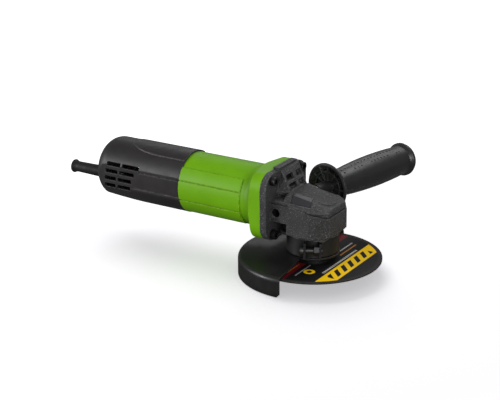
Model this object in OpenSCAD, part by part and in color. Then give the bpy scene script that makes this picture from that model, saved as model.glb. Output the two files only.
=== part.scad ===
// Angle grinder for 125 mm discs.
// Origin: where the motor axis crosses the spindle axis.
// +X points to the nose of the gear head, +Y to the side handle, +Z up; the disc lies below.

/* [Motor housing] */
// Radius of the motor barrel
barrel_r = 28.4; // [27.5:0.1:32]
// Wall of the motor barrel
barrel_wall = 2.2; // [1.8:0.1:2.6]
// Joint between the motor housing and the rear housing, behind the spindle axis
seam_x = 126; // [125:1:150]
// Face where the gear head is bolted on, behind the spindle axis
parting_x = 34; // [34:0.5:36]
// Length of the flared flange of the motor housing
flange_len = 21; // [19:0.5:24]
// Width of the flange
flange_w = 71.4; // [70:0.2:80]
// Height of the flange
flange_h = 62.6; // [62:0.2:80]
// Corner radius of the flange
flange_corner = 15; // [12:0.5:20]
// Height of the raised grip panels on the barrel
panel_h = 0.8; // [0.3:0.1:1]
// Angle of the groove between two grip panels, from the side upwards
panel_groove_a = 18.3; // [10:0.1:24]
// Upper end of the upper grip panel, from the side upwards
panel_top_a = 43.5; // [36:0.5:60]
// Lower end of the upper grip panel, from the side upwards
panel_low_a = -18.5; // [-30:0.5:-12]
// Lower end of the lower grip panel, from the side upwards
panel_base_a = -55; // [-65:0.5:-40]

/* [Rear housing] */
// Back of the rear housing, behind the spindle axis
rear_x = 225.5; // [222:0.5:255]
// Step from the barrel up to the rear housing, on the radius
rear_proud = 0.8; // [0.4:0.1:2]
// Depth of the rear housing's flat sides below its round section
rear_flat = 2; // [1:0.1:2.4]
// Wall of the rear housing
rear_wall = 2.4; // [2:0.1:3]
// Radius of the rounded back end
rear_round = 14; // [10:0.5:20]
// Radius under the back end
rear_low_round = 7; // [5:0.5:12]
// How much narrower the round section is at the back than at the seam, on the radius
rear_narrow = 0; // [0:0.1:2.5]
// Rise of the underside towards the back, in degrees
rear_taper = 7.5; // [0:0.5:7.5]
// Length of the lowest vent slot at the back
vent_len = 13; // [9:0.5:14]
// Height of one vent slot
vent_h = 3.8; // [2:0.1:4.2]
// Spacing of the vent rows
vent_pitch = 7.1; // [6:0.1:7.5]
// Number of vent rows on each side
vent_rows = 4; // [2:1:4]
// Height of the top vent row above the motor axis
vent_top_z = 11.2; // [8:0.1:13]

/* [Gear head] */
// Radius of the head round the spindle
head_r = 30; // [29.5:0.1:33]
// Half width of the head across its flat sides
head_half_w = 28; // [27.5:0.1:32]
// Front face of the head, ahead of the spindle axis
head_nose = 25.5; // [24.5:0.1:29]
// Lower face of the head, below the motor axis
head_drop = 21; // [20.5:0.1:22]
// Thickness of the bolted flange plate
head_plate = 6; // [5:0.1:7]
// Height of the side wall's rounded top edge
ridge_z = 5.1; // [4.5:0.1:6]
// Radius of that edge seen from the side
ridge_round = 105; // [90:1:140]
// Height of the top face above the motor axis at the spindle
top_z = 10; // [9:0.1:10.5]
// Slope of the top face towards the nose, in degrees
top_slope = 13.5; // [12:0.5:15]
// Width of the ledge between the side walls and the raised middle of the head, at the spindle
ledge_w = 6.9; // [6.5:0.1:7.5]
// How far each flank of the raised middle turns in towards the nose, in degrees
cap_narrow = 15; // [12:0.5:16]
// Slope of these flanks, in degrees
flank_slope = 40; // [38:1:45]
// Screws that hold the head to the motor housing: distance from the middle, sideways
head_screw_y = 24.5; // [24:0.1:28]
// Screws that hold the head to the motor housing: distance from the middle, up and down
head_screw_z = 25; // [24:0.1:28]

/* [Gears] */
// Module of the bevel gears at the large end
gear_m = 1; // [1:0.01:1.05]
// Teeth of the crown gear
crown_teeth = 38; // [36:1:38]
// Teeth of the pinion
pinion_teeth = 11; // [10:1:12]
// Face width of the bevel teeth
gear_face = 5.4; // [4:0.1:6]
// Play between the flanks of meshing teeth
backlash = 0.2; // [0.15:0.01:0.3]

/* [Disc and guard] */
// Radius of the cutting disc
disc_r = 62.5; // [57.5:0.5:62.5]
// Thickness of the cutting disc
disc_t = 1.2; // [1:0.1:3]
// Radius of the hole in the disc
disc_bore_r = 11.1; // [11.1:0.05:11.2]
// Upper face of the disc, below the motor axis
disc_drop = 48.5; // [48:0.5:52]
// Outer radius of the guard
guard_r = 67.5; // [66.5:0.5:80]
// Thickness of the guard's sheet
guard_t = 1.6; // [1.2:0.1:2]
// Height of the guard's skirt from its shoulder to its edge
guard_skirt = 18; // [14:0.5:22]
// Angle that the guard covers
guard_sweep = 180; // [150:5:200]
// Direction of the middle of the guard, counted from the nose
guard_middle = 184; // [175:1:190]
// Length of the collar that carries the guard
neck_h = 16.5; // [15.5:0.5:17]
// Outer radius of the collar
neck_r = 20.5; // [20:0.1:22]

/* [Side handle] */
// Socket of the side handle, behind the spindle axis
socket_x = 22; // [21:0.5:23]
// Socket of the side handle, below the motor axis
socket_drop = 2.7; // [0:0.1:3]
// Forward lean of the side handle, in degrees
handle_lean = 12; // [8:1:14]
// Radius of the handle's thread
stud_r = 4; // [3:0.5:4.5]
// Depth of the thread in the gear head
socket_depth = 12; // [9:0.5:12]
// Gap from the gear head to the rim of the handle's flange
handle_standoff = 26.7; // [20:0.5:32]
// Length of the handle from the rim of its flange to its end
handle_len = 118; // [95:1:140]
// Radius of the handle's flange
handle_flange_r = 22.9; // [21:0.1:27]
// Largest radius of the grip
grip_r = 15.6; // [14:0.1:17]
// Radius of the knob at the end of the handle
knob_r = 16.4; // [16:0.1:19]

/* [Cable boot] */
// Length of the cable boot outside the housing
boot_len = 45; // [25:1:60]
// Radius of the boot at the housing
boot_root_r = 5.9; // [5.5:0.1:8]
// Radius of the boot before its end bead
boot_tip_r = 5.2; // [4.8:0.1:7]
// Radius of the cable that the boot holds
cable_r = 3.5; // [3:0.1:4]
// Boot axis, below the motor axis
boot_drop = 9.7; // [6:0.5:12]

/* [Switch and lock] */
// Travel of the spindle lock
lock_travel = 3.2; // [3:0.1:3.3]
// Travel of the slide switch
switch_travel = 8; // [5:0.5:9]
// Back end of the slide button in its off position, behind the spindle axis
switch_x = 86; // [84:1:92]
// Length of the slide button
switch_len = 26; // [20:1:28]

/* [Hidden] */
$fn = 72;

// clearances
seat_gap = 0.02;   // pressed and screwed pieces
run_gap = 0.05;    // turning and sliding fits, on the radius
free_gap = 0.3;    // pieces that move past each other
cut = 1;           // how far a cutter runs past the face that it opens

// bevel gear set, apex at the origin
crown_pitch_r = gear_m * crown_teeth / 2;
pinion_pitch_r = gear_m * pinion_teeth / 2;
cone_len = norm([crown_pitch_r, pinion_pitch_r]);
crown_cone = atan(crown_teeth / pinion_teeth);
face_ratio = (cone_len - gear_face) / cone_len;
pressure_a = 20;
tooth_shift = 0.3 * gear_m;
pinion_add = 1.0 * gear_m;
pinion_ded = 0.65 * gear_m;
crown_add = 0.5 * gear_m;
crown_ded = 1.25 * gear_m;
pinion_tooth_w = gear_m * PI / 2 + 2 * tooth_shift * tan(pressure_a) - backlash / 2;
crown_tooth_w = gear_m * PI / 2 - 2 * tooth_shift * tan(pressure_a) - backlash / 2;
crown_tip_r = crown_pitch_r + crown_add;
pinion_root_r = pinion_pitch_r - pinion_ded;

// bearings: bore radius, outer radius, width, ball count
front_bearing = [4.5, 13, 8, 8];
rear_bearing = [3.5, 9.5, 6, 7];
spindle_bearing = [6, 16, 10, 8];

// stack along the motor axis, as distances behind the spindle axis
front_bearing_x = crown_pitch_r + 2.5;
front_bearing_back = front_bearing_x + front_bearing[2];
retainer_t = 1.6;
retainer_screw_a = [72, 125];   // each side of straight up, clear of the handle sockets
fan_x = parting_x + 3;
fan_depth = 13.5;
fan_plate = 1.6;
fan_r = barrel_r - 4.4;
baffle_x = fan_x + fan_depth + 0.8;
baffle_t = 1.5;
coil_x = baffle_x + baffle_t + 0.7;
coil_end = 5;
stator_x = coil_x + coil_end;
stator_len = 44;
core_len = 40;
core_x = stator_x + (stator_len - core_len) / 2;
commutator_len = 13.5;
commutator_x = stator_x + stator_len + coil_end + 3.5;
rear_bearing_x = commutator_x + commutator_len + 9;
rear_bearing_back = rear_bearing_x + rear_bearing[2];
spigot_end = rear_bearing_back + 3;
barrel_in_r = barrel_r - barrel_wall;
shaft_r = front_bearing[0];
shaft_nose_r = 2.6;
pinion_back = front_bearing_x;
pinion_front = crown_pitch_r * face_ratio;
pinion_nut_t = 4;
pinion_nut_w = 7;

// armature and stator
core_r = barrel_r - 11.2;
air_gap = 0.7;
stator_r = barrel_in_r - free_gap;
stator_flat = stator_r - 3.5;
stator_bore = core_r + air_gap;
coil_r0 = stator_bore + 0.5;
coil_r1 = stator_flat - 0.6;
coil_a0 = 22;
coil_a1 = 42;
slots = 12;
slot_r = 1.9;
commutator_r = core_r - 6;
brush_w = 5;
brush_l = 8;
brush_h = 9.2;
holder_wall = 0.8;
brush_spring_r = 1.9;

// stack along the spindle, as heights below the motor axis
cover_t = 3;
cover_bottom = head_drop + cover_t;
neck_bottom = head_drop + cover_t + neck_h;
spindle_bearing_z = head_drop - 3;
spindle_bearing_low = spindle_bearing_z + spindle_bearing[2];
flange_t = 5.5;
shoulder_z = disc_drop - flange_t;
disc_low = disc_drop + disc_t;
nut_t = 5.5;
thread_r = 7;
nut_pin_x = 12.5;
nut_pin_r = 1.9;
spindle_end = disc_low + nut_t + 3;
shoulder_r = 8.6;
crown_hub_r = 8.2;
crown_hub_top = 4.4;
crown_bore = 5;
web_top = 7;
lock_r = 10.7;
lock_pin_r = 1.8;
lock_hole_r = 2.2;
lock_ribs = 3;   // between the pockets for the pin in the crown gear
lock_rib_w = 2;
lock_angle = 271;
lock_turn = 39;   // from the pin to the middle of its pocket
bush_r = 6;
bush_bore = 4;
bush_low = 3.4;
bush_high = 3.4;
chamber_r = crown_tip_r + 2;
chamber_top = 0.6;
chamber_rim = 4.2;
tunnel_r = pinion_pitch_r + pinion_add + 1.1;
tunnel_tip_r = 6;
tunnel_end = bush_r + 2.2;

// gear head details
recess_z = 11;
recess_x = 11.5;
recess_r = 25;
lip = 0.9;
groove_in = 1.2;
groove_up = 1.3;
ridge_mid = -16;
ledge_z = 4.6;
ledge_slope = 7.5;
ledge_rise = 0.4;
cap_level = 12.4;   // greatest height of the raised middle
flank_h = 16;
back_z = 7.8;
plate_x = parting_x - head_plate;
grille_top = [26.4, 30.6];   // upper edge of the outlet's face: distance behind the spindle axis, height
grille_low = [17.6, 10.8];   // its lower edge
grille_y = [-10.4, 20];
grille_wall = 2.2;
windows_y = [[-7, 4.9], [9.4, 18]];   // from and to, left and right column
windows_z = [12.9, 20.6];
window_h = 5.2;
buttress = [23.2, 6];   // top height and spread at the plate
duct_low = 13.8;
bearing_roof = 19.2;
bar_y = [-12, 19];
bar_h = 2.2;
pocket = [-15.6, -19.7, 18.5, 12.9];   // corner, length and width of the button's pocket along the flank
pocket_floor = 0.4;
button_gap = 0.5;
button_low = 3.95;
notch = [-6, -4.2, 0.8];   // mark beside the button: place along the flank and radius
lock_grip = 1.6;
lock_spring_r = 2.6;
lock_cup = 1.8;
screw_r = 2.4;
screw_head_r = 4.2;
screw_head_h = 4.6;
screw_len = 17;
cover_screw_r = 25.4;
cover_ear = 4.4;
cover_screw = [1.9, 3.5, 12];

// rear housing details
rear_r = barrel_r + rear_proud;
rear_half_w = rear_r - rear_flat;
taper_len = 70.5;   // from the start of the rise under the housing to the back
taper_x = max(rear_x - taper_len, spigot_end + 1);
rear_in_r = rear_r - rear_wall;
spigot_r = rear_in_r - 0.1;
spigot_half_w = rear_half_w - rear_wall - 0.1;
spigot_wall = 2.1;
pad_tip_x = 195;
pad_full_x = 154;
pad_half_w = 16.4;
pad_h = 0.6;
vent_end = 12.9;   // from the back to the lowest vent slot
vent_rib = 1.8;
vent_more = 2.3;   // how much longer the front slot of a row is
vent_bow = [0.4, 0.3, 0.5];   // forward bow of the slots' back ends, ribs and front ends, going up
groove_w = 0.9;
groove_d = 0.8;
groove_x = [173, 180];
groove_z = [7.9, -8.2];
rear_screw_x = seam_x + 6.5;
rear_screw_a = 24;   // each side of straight down
rear_screw = [1.5, 2.8, 4.6];   // radius, head radius, length
rear_screw_sink = 0.6;

// switch train on the +Y side
rod_in = stator_flat + free_gap;
rod_t = 1.6;
rod_h = 4;
pad_flat = barrel_r + panel_h + 0.4;
button_h = 3.6;
module_x = [152, 178];
module_y = [4, rod_in - 0.5];
module_h = 22;
finger_x = 163;
finger_l = 4;
cap_box = [156, 18, -19.5, 13, -4, 12];   // front x, length, y, width, bottom z, height
boot_seat = 3;   // from the inner face of the back to the flat that the boot's rim rests on
saddle_x = 206;
saddle_y = 8.5;
saddle_w = 7;
saddle_screw = 14.4;   // length of its screws

// side handle, measured along its own axis from the face of the head
socket_tip = stud_r * tan(31);   // cone that the drill leaves
collar_len = 11;
collar_r = 5.6;
spot_depth = 1.5;
flange_depth = 9;
handle_bore = 5;
knob_len = 11;
grip_sag = 11;
grip_start = handle_standoff + flange_depth - 3;
grip_end = handle_standoff + handle_len - knob_len;
grip_peak = grip_start + (grip_end - grip_start) * 0.62;
grip_pits = 18;
grip_pit_r = 1;
grip_pit_rows = [-80, -60, 22, 40];

// guard
guard_neck_r = neck_r + 0.08;
guard_neck_t = 1.6;
band_r = guard_neck_r + guard_neck_t + seat_gap;
band_t = 1.5;
band_top = cover_bottom + 0.6;
band_low = neck_bottom + 0.2;
guard_low = disc_drop - 3.3 + guard_skirt;
guard_shoulder = disc_drop - 3.3;
hood_bend = 4;
hood_dish = 3.8;
ear_dir = -61;
ear_gap = 12;
ear_t = 2;
ear_len = 8.5;
clamp_screw_r = 2.5;
clamp_screw_tail = 1;

// --- shared shapes ---

// extrudes a (y, z) outline along x
module along_x(from, to) {
    translate([from, 0, 0]) rotate([90, 0, 90]) linear_extrude(to - from) children();
}

// extrudes an (x, z) outline along y
module along_y(from, to) {
    translate([0, to, 0]) rotate([90, 0, 0]) linear_extrude(to - from) children();
}

// turns an outline of (radius, x) round the motor axis
module round_x() {
    rotate([0, 90, 0]) rotate_extrude() children();
}

module tube_x(from, to, r_out, r_in) {
    along_x(from, to) difference() {
        circle(r_out);
        circle(r_in);
    }
}

module tube_z(low, high, r_out, r_in) {
    translate([0, 0, low]) linear_extrude(high - low) difference() {
        circle(r_out);
        circle(r_in);
    }
}

module rounded(w, h, r) {
    square([w - 2 * r, h], center = true);
    square([w, h - 2 * r], center = true);
    for (x = [-1, 1], y = [-1, 1]) translate([x * (w / 2 - r), y * (h / 2 - r)]) circle(r);
}

// slice of a disc between two angles that are less than 180 degrees apart
module slice(r, a0, a1) {
    reach = 2 * r;
    mid = (a0 + a1) / 2;
    intersection() {
        circle(r);
        polygon([[0, 0], reach * [cos(a0), sin(a0)], reach * [cos(mid), sin(mid)],
            reach * [cos(a1), sin(a1)]]);
    }
}

module ring_slice(r0, r1, a0, a1) {
    difference() {
        slice(r1, a0, a1);
        circle(r0);
    }
}

// screw along -Z with its head's underside at the origin
module screw(r, len, head_r, head_h) {
    difference() {
        union() {
            translate([0, 0, -len]) cylinder(r = r, h = len);
            cylinder(r = head_r, h = head_h);
        }
        translate([0, 0, head_h / 2]) cylinder(r = head_r * 0.6, h = head_h, $fn = 6);
    }
}

// flat-headed screw along -Z with its head's top at the origin
module flat_screw(r, head_r, len) {
    difference() {
        union() {
            translate([0, 0, -len]) cylinder(r = r, h = len);
            translate([0, 0, r - head_r]) cylinder(r1 = r, r2 = head_r, h = head_r - r);
        }
        translate([0, 0, -0.9]) for (a = [0, 90]) rotate(a) {
            translate([-head_r * 0.7, -0.35, 0]) cube([head_r * 1.4, 0.7, cut + 1]);
        }
    }
}

// ball bearing pieces on the Z axis, lower face at the origin
module race_outline(b, inner) {
    mid = (b[0] + b[1]) / 2;
    ball = ball_r(b);
    shoulder = ball * 0.42;
    difference() {
        if (inner) translate([b[0] + seat_gap, 0]) square([mid - shoulder - b[0] - seat_gap, b[2]]);
        else translate([mid + shoulder, 0]) square([b[1] - mid - shoulder - seat_gap, b[2]]);
        translate([mid, b[2] / 2]) circle(ball + run_gap);
    }
}

function ball_r(b) = (b[1] - b[0]) * 0.29;

module bearing_inner(b) {
    rotate_extrude() race_outline(b, true);
}

module bearing_outer(b) {
    rotate_extrude() race_outline(b, false);
    for (i = [0:b[3] - 1]) rotate(i * 360 / b[3]) {
        translate([(b[0] + b[1]) / 2, 0, b[2] / 2]) sphere(ball_r(b), $fn = 32);
    }
}

// round wire swept along a helix on the Z axis
function helix_ring(a, coil_r, wire_r, rise, sides) = [
    for (k = [0:sides - 1]) let (b = k * 360 / sides, r = coil_r + wire_r * cos(b))
        [r * cos(a), r * sin(a), rise * a / 360 + wire_r * sin(b)]
];

module coil_spring(coil_r, wire_r, len, turns) {
    sides = 6;
    steps = turns * 14;
    rise = (len - 2 * wire_r) / turns;
    points = [for (i = [0:steps]) each helix_ring(i * 360 * turns / steps, coil_r, wire_r, rise, sides)];
    walls = [
        for (i = [0:steps - 1], k = [0:sides - 1]) let (n = (k + 1) % sides)
            [(i + 1) * sides + k, (i + 1) * sides + n, i * sides + n, i * sides + k]
    ];
    ends = [[for (k = [0:sides - 1]) k], [for (k = [0:sides - 1]) steps * sides + sides - 1 - k]];
    translate([0, 0, wire_r]) polyhedron(points, concat(walls, ends), convexity = 8);
}

module hex_nut(across, t, bore) {
    difference() {
        cylinder(r = across / 2 / cos(30), h = t, $fn = 6);
        translate([0, 0, -cut]) cylinder(r = bore, h = t + 2 * cut);
    }
}

// --- motor housing ---

// radius of the flare at a distance ahead of its root
module flare_outline() {
    reach = norm([flange_w, flange_h]) / 2;
    rise = reach - barrel_r;
    run = flange_len * 0.55;
    points = [for (t = [0:0.1:1]) [barrel_r + rise * (1 - sqrt(1 - t * t)),
        -parting_x - flange_len + run * t]];
    polygon(concat([[0, -parting_x - flange_len]], points, [[reach, -parting_x], [0, -parting_x]]));
}

module panel(a0, a1, from, to) {
    along_x(from, to) for (side = [0, 1]) mirror([side, 0]) slice(barrel_r + panel_h, 180 - a1, 180 - a0);
}

module motor_shell() {
    along_x(-seam_x, -parting_x - flange_len + cut) circle(barrel_r);
    intersection() {
        round_x() flare_outline();
        along_x(-parting_x - flange_len, -parting_x) rounded(flange_w, flange_h, flange_corner);
    }
    difference() {
        union() {
            panel(panel_low_a, panel_top_a, -seam_x, -parting_x - flange_len - 5);
            panel(panel_base_a, panel_low_a - 2.4, -seam_x, -parting_x - flange_len - 5);
        }
        panel_groove();
    }
    intersection() {
        along_x(-switch_x - 6, -switch_x + switch_len + switch_travel + 6)
            translate([0, -9]) square([pad_flat, 18]);
        along_x(-seam_x, -parting_x) circle(barrel_r + 2.2);
    }
}

module panel_groove() {
    for (side = [0, 1]) mirror([0, side, 0]) rotate([-panel_groove_a, 0, 0]) {
        translate([-seam_x - cut, -barrel_r - panel_h - cut, -0.5])
            cube([seam_x - parting_x - flange_len - 4, cut + panel_h, 1]);
    }
}

module spigot() {
    along_x(-spigot_end, -seam_x + 2) difference() {
        intersection() {
            circle(spigot_r);
            square([2 * spigot_half_w, 3 * spigot_r], center = true);
        }
        intersection() {
            circle(spigot_r - spigot_wall);
            square([2 * (spigot_half_w - spigot_wall), 3 * spigot_r], center = true);
        }
    }
}

// four arms that carry the rear bearing
module bearing_spider() {
    cup_r = rear_bearing[1] + 2 + seat_gap;
    along_x(-spigot_end, -rear_bearing_x + 2) difference() {
        union() {
            circle(cup_r + 2.4);
            intersection() {
                for (a = [45, 135]) rotate(a) square([2 * spigot_r, 5], center = true);
                circle(spigot_r - 0.5);
                square([2 * spigot_half_w - 1, 3 * spigot_r], center = true);
            }
        }
        circle(cup_r);
    }
    tube_x(-spigot_end, -rear_bearing_back - 1.3, cup_r + 1, rear_bearing[0] + 2);
}

module motor_housing() {
    color("yellowgreen") difference() {
        union() {
            difference() {
                motor_shell();
                along_x(-seam_x - cut, -parting_x + cut) circle(barrel_in_r);
                along_x(-parting_x - flange_len / 2, -parting_x + cut) circle(barrel_in_r + 4.8);
            }
            tube_x(-seam_x, -seam_x + 2.5, barrel_r - 0.5, spigot_r - spigot_wall - 1);
            spigot();
            bearing_spider();
        }
        for (y = [-1, 1], z = [-1, 1]) {
            along_x(-parting_x + head_plate - screw_len - 1, -parting_x + cut)
                translate([y * head_screw_y, z * head_screw_z]) circle(screw_r + seat_gap);
        }
        switch_slot();
        rear_screw_places() translate([0, 0, spigot_r - 5]) cylinder(r = rear_screw[0] + seat_gap, h = 10);
    }
}

// opening for the stem of the slide button, and the way of its rod through the spigot
module switch_slot() {
    stem = stem_x();
    translate([-stem[0] - free_gap, barrel_in_r - 3, -rod_h / 2 - 0.6])
        cube([stem[0] - stem[1] + switch_travel + 2 * free_gap, 12, rod_h + 1.2]);
    translate([-spigot_end - cut, rod_in - 0.4, -rod_h / 2 - 0.6])
        cube([spigot_end - seam_x + 5, rod_t + 0.8, rod_h + 1.2]);
}

// back and front of the stem under the slide button
function stem_x() = [switch_x - 5, switch_x - 13];

// --- rear housing ---

// round body of the rear housing, narrower towards the rounded back
module rear_cone(grow, front) {
    back = -rear_x - grow;
    r = rear_round + grow;
    end_r = rear_r + grow - rear_narrow;
    round_x() {
        polygon([[0, back], [end_r - r, back], [end_r, back + r], [rear_r + grow, -taper_x],
            [rear_r + grow, front], [0, front]]);
        intersection() {
            translate([end_r - r, back + r]) circle(r);
            translate([0, back]) square([rear_r, 2 * r]);
        }
    }
}

// (x, z) outline under the body, rising to the back
module rear_side_outline(grow) {
    back = -rear_x - grow;
    drop = (rear_x - taper_x) * tan(rear_taper);
    low = -rear_r - grow;
    r = rear_low_round + grow;
    translate([back + r, low + drop + r]) circle(r);
    polygon([[back, low + drop + r], [back, rear_r + 5], [0, rear_r + 5], [0, low], [-taper_x, low],
        [back + r * (1 + sin(rear_taper)), low + drop + r * (1 - cos(rear_taper))]]);
}

module rear_form(grow, front) {
    intersection() {
        rear_cone(grow, front);
        along_x(-rear_x - 5, front) square([2 * (rear_half_w + grow), 3 * rear_r], center = true);
        along_y(-rear_r - 5, rear_r + 5) rear_side_outline(grow);
    }
}

// raised thumb pad along the top, pointed at its back end
module thumb_pad() {
    nose = [for (t = [0:0.125:1]) [-pad_tip_x + (pad_tip_x - pad_full_x) * t * t, pad_half_w * sin(90 * t)]];
    back_nose = [for (i = [len(nose) - 1:-1:1]) [nose[i][0], -nose[i][1]]];
    intersection() {
        rear_form(pad_h, -seam_x);
        translate([0, 0, rear_r / 2]) linear_extrude(rear_r) polygon(concat(
            nose, [[-seam_x, pad_half_w], [-seam_x, -pad_half_w]], back_nose));
    }
}

// rows of two slots with a rib between them, each row further forward than the one below
module vents() {
    for (i = [0:vent_rows - 1]) {
        up = pow(vent_rows - 1 - i, 2);
        len = vent_len + vent_bow[1] * up;
        translate([-rear_x + vent_end + vent_bow[0] * up, -rear_half_w - cut,
            vent_top_z - i * vent_pitch - vent_h / 2]) {
            cube([len, 12, vent_h]);
            translate([len + vent_rib, 0, 0])
                cube([len + vent_more + (vent_bow[2] - vent_bow[1]) * up, 12, vent_h]);
        }
    }
}

module side_grooves() {
    for (i = [0, 1]) translate([-groove_x[i], -rear_r - cut, groove_z[i] - groove_w / 2])
        cube([groove_x[i] - seam_x + cut, cut + rear_r - rear_half_w + groove_d, groove_w]);
}

// ribs that hold the switch and the capacitor, and the saddle under the cable clamp
module rear_ribs() {
    intersection() {
        rear_form(-rear_wall / 2, -spigot_end - 2);
        union() {
            for (x = [module_x[0] + 5, module_x[1] - 5], z = [-rear_r, module_h / 2 + seat_gap]) {
                translate([-x - 1, module_y[0], z])
                    cube([2, module_y[1] - module_y[0], rear_r - module_h / 2 - seat_gap]);
            }
            translate([-cap_box[0] - cap_box[1] / 2 - 1, cap_box[2], -rear_r])
                cube([2, cap_box[3], rear_r + cap_box[4] - seat_gap]);
            translate([-rear_x, 0, -boot_drop]) rotate([0, 90, 0])
                cylinder(r = boot_root_r + 2.5, h = rear_wall + boot_seat);
            for (y = [-1, 1]) translate([-saddle_x, y * saddle_y, -rear_r])
                cylinder(r = 4.2, h = rear_r - boot_drop - cable_r);
        }
    }
}

module rear_housing() {
    color("dimgray") difference() {
        union() {
            difference() {
                union() {
                    rear_form(0, -seam_x);
                    thumb_pad();
                }
                rear_form(-rear_wall, -seam_x + cut);
                for (side = [0, 1]) mirror([0, side, 0]) {
                    vents();
                    side_grooves();
                }
            }
            rear_ribs();
        }
        translate([-rear_x - 5, 0, -boot_drop]) rotate([0, 90, 0])
            cylinder(r = boot_root_r + 0.1, h = rear_wall + boot_seat + 5 + cut);
        rear_screw_places() translate([0, 0, rear_r - rear_screw_sink]) rear_screw_hole();
        for (y = [-1, 1]) translate([-saddle_x, y * saddle_y, -boot_drop + 4 - saddle_screw])
            cylinder(r = 1.4, h = 20);
    }
}

// local +Z points outward through the wall at the two screws of the rear housing
module rear_screw_places() {
    for (side = [-1, 1]) translate([-rear_screw_x, 0, 0]) rotate([180 + side * rear_screw_a, 0, 0])
        children();
}

module rear_screw_hole() {
    r = rear_screw[0] + 0.15;
    head = rear_screw[1] + 0.15;
    translate([0, 0, -5]) cylinder(r = r, h = 10);
    translate([0, 0, -(head - r)]) cylinder(r1 = r, r2 = head, h = head - r);
    cylinder(r = head, h = 5);
}

// --- gear head ---

// plan of the head, set in from its sides
module head_plan(inset, back) {
    intersection() {
        union() {
            circle(head_r - inset);
            translate([-back, -head_r]) square([back, 2 * head_r]);
        }
        translate([-back, -head_half_w + inset])
            square([back + head_nose - inset, 2 * (head_half_w - inset)]);
    }
}

// everything above a plane that slopes down to the nose
module above(z, slope) {
    translate([0, 0, z]) rotate([0, slope, 0]) translate([-100, -100, 0]) cube([200, 200, 100]);
}

// everything below the curved top edge of the side walls, raised by some height
module below_ridge(rise) {
    along_y(-head_r - 5, head_r + 5) {
        translate([ridge_mid, ridge_z + rise - ridge_round]) circle(ridge_round, $fn = 180);
        translate([-60, -60]) square([60 + ridge_mid, 60 + ridge_z + rise]);
    }
}

// drum round the gears and, above the screw recesses, the walls that run back to the plate
module head_wall() {
    intersection() {
        union() {
            translate([0, 0, -head_drop]) linear_extrude(head_drop + 12) intersection() {
                circle(head_r);
                translate([-head_r, -head_half_w]) square([head_r + head_nose, 2 * head_half_w]);
            }
            translate([0, 0, -recess_z]) linear_extrude(recess_z + 12) head_plan(0, plate_x + cut);
        }
        below_ridge(0);
    }
}

// everything above the raised middle
module cap_top() {
    above(top_z, top_slope);
    translate([-60, -60, cap_level]) cube([120, 120, 30]);
}

// everything over the ledge and beside the flank on the +Y side
module cap_flank() {
    foot = head_half_w - lip - ledge_w;
    out = 30;
    top = ledge_rise + flank_h;
    translate([0, 0, ledge_z]) rotate([0, ledge_slope, 0]) rotate(-cap_narrow) along_x(-60, 60)
        polygon([[foot + out, ledge_rise * (1 - out / ledge_w)], [foot, ledge_rise],
            [foot - flank_h / tan(flank_slope), top], [foot + out, top]]);
}

// turns the button and its pocket along the near flank
module button_turn() {
    rotate(cap_narrow) children();
}

// raised middle of the head, with a ledge on each side and a groove round its foot
module head_cap() {
    difference() {
        union() {
            translate([0, 0, -recess_z]) linear_extrude(recess_z + 20)
                head_plan(lip + groove_in, plate_x + cut);
            difference() {
                translate([0, 0, -recess_z]) linear_extrude(recess_z + 20) head_plan(lip, plate_x + cut);
                below_ridge(groove_up);
            }
        }
        cap_top();
        button_turn() translate([notch[0], notch[1], top_z + 0.5]) cylinder(r = notch[2], h = 5);
        for (side = [0, 1]) mirror([0, side, 0]) {
            cap_flank();
            translate([-plate_x - cut, -grille_y[0] + 3, back_z]) cube([cut + recess_x, 30, 30]);
        }
    }
}

module flange_plate() {
    along_x(-parting_x, -plate_x) rounded(flange_w, flange_h, flange_corner);
    along_x(-parting_x, -plate_x) translate([bar_y[0], flange_h / 2 - 3])
        square([bar_y[1] - bar_y[0], 3 + bar_h]);
}

// (x, z) outline of the outlet block behind its sloping face
module grille_outline() {
    polygon([[-plate_x - cut, flange_h / 2 - 0.4], [-plate_x + 0.4, flange_h / 2 - 0.4],
        [-grille_top[0], grille_top[1]], [-grille_low[0], grille_low[1]], [-grille_low[0], 3],
            [-plate_x - cut, 3]]);
}

// block over the air outlet, with a buttress on its near side
module grille_block() {
    y = grille_y[0];
    low = grille_low[1];
    top = buttress[0];
    along_y(y, grille_y[1]) grille_outline();
    hull() {
        along_y(y, y + 1) polygon([[-plate_x, top], [grille_face(top), top],
            [-grille_low[0], low], [-plate_x, low]]);
        along_x(-plate_x - cut, -plate_x) polygon([[y, top], [y - buttress[1], low], [y, low]]);
    }
}

// x of the outlet's sloping face at a height
function grille_face(z) = -grille_low[0]
    - (z - grille_low[1]) * (grille_top[0] - grille_low[0]) / (grille_top[1] - grille_low[1]);

module windows() {
    deep = grille_wall + 1.6;
    for (y = windows_y, z = windows_z) along_y(y[0], y[1]) polygon([[grille_face(z) - deep, z],
        [grille_face(z) + 2, z], [grille_face(z) + 2, z + window_h],
        [grille_face(z + window_h) - deep, z + window_h]]);
    along_y(grille_y[0] + grille_wall, grille_y[1] - grille_wall) polygon([[-parting_x - cut, bearing_roof],
        [-parting_x - cut, grille_top[1] - 2], [-grille_top[0] - grille_wall, grille_top[1] - 2],
        [-grille_low[0] - grille_wall - 1.2, duct_low], [-plate_x, duct_low], [-plate_x, bearing_roof]]);
}

// room for the heads of the two lower screws
module screw_recesses() {
    for (side = [0, 1]) mirror([0, side, 0]) difference() {
        translate([-plate_x, -head_r - 5, -60]) cube([plate_x - recess_x, head_r + 5, 60 - recess_z]);
        cylinder(r = recess_r, h = 200, center = true);
    }
}

// places local +Z on the axis of a handle socket; side is 1 or -1
module at_socket(side) {
    translate([-socket_x, side * head_half_w, -socket_drop])
        rotate([0, 0, -side * handle_lean]) rotate([-side * 90, 0, 0]) children();
}

module head_screw_places(x) {
    for (y = [-1, 1], z = [-1, 1])
        translate([x, y * head_screw_y, z * head_screw_z]) rotate([0, 90, 0]) children();
}

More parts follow.
